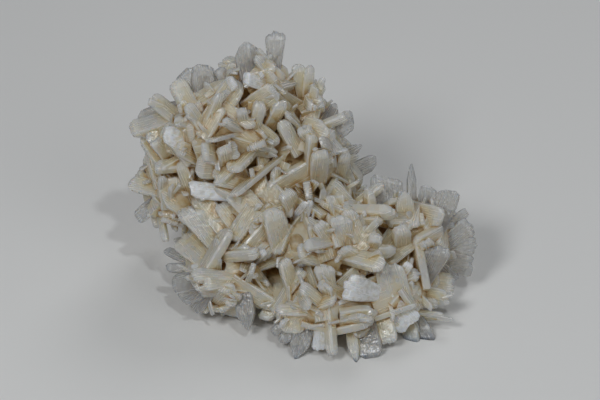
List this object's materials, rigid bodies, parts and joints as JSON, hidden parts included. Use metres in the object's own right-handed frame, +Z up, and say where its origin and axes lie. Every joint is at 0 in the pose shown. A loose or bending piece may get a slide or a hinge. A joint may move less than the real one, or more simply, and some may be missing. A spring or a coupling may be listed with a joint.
{
  "type": "stilbite crystal cluster",
  "caption": "Stilbite specimen: a heap of creamy, flattened, blunt-ended crystals grown together at all angles, higher at the back left, resting on a small flat spot.",
  "frame": {"origin": "middle of the flat spot that the specimen rests on", "axes": "+Z up; -Y towards the display side, which leans back; +X to the right of someone who looks at the display side"},
  "size_m": [0.105, 0.0771, 0.0727],
  "materials": {
    "stilbite": "pearly"
  },
  "bodies": {
    "root": {"stilbite_cluster": "stilbite"}
  },
  "joints": []
}
